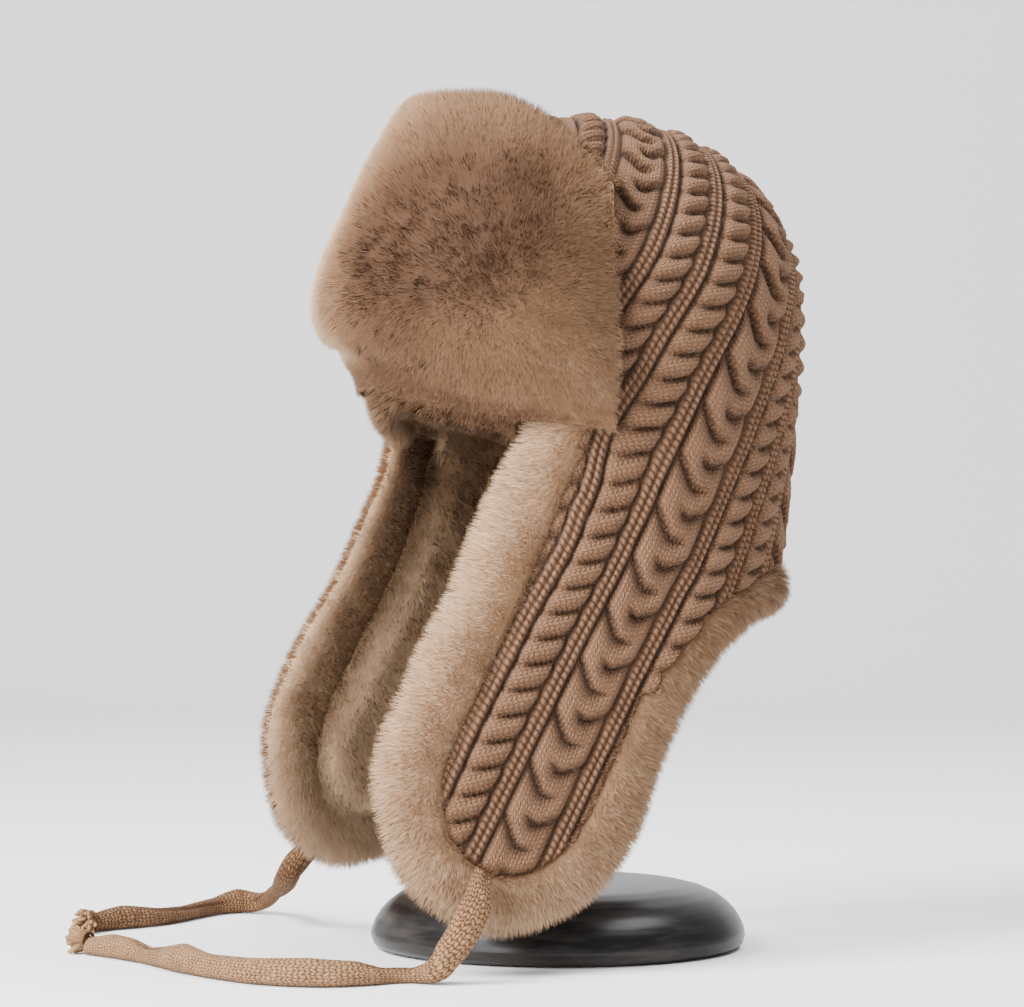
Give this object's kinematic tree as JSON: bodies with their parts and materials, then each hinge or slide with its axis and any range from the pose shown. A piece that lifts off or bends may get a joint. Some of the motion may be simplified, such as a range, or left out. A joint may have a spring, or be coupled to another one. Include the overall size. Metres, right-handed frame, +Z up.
{
  "type": "knit ushanka on hat stand",
  "caption": "Cable-knit ushanka with fur visor, fur-lined ear flaps and knit tie cords, shown on a round hat stand.",
  "frame": {"origin": "on the table, under the middle of the hat and stand measured without the cords", "axes": "+Z up, the hat faces -Y, the wearer's left ear is at +X"},
  "size_m": [0.3046, 0.3273, 0.387],
  "materials": {
    "knit": "matte wool knit with cables",
    "fur": "soft dense pile, lighter at its tips",
    "cord": "matte fine knit tube",
    "stand": "satin dark finish"
  },
  "bodies": {
    "root": {"stand_base": "stand", "stand_post": "stand", "knit_panel_left": "knit", "fur_lining_left": "fur", "fur_trim_left": "fur", "tie_cord_left": "cord", "cord_end_left": "cord", "knit_panel_right": "knit", "fur_lining_right": "fur", "fur_trim_right": "fur", "tie_cord_right": "cord", "cord_end_right": "cord", "brow_roll": "fur", "visor": "fur"}
  },
  "joints": []
}
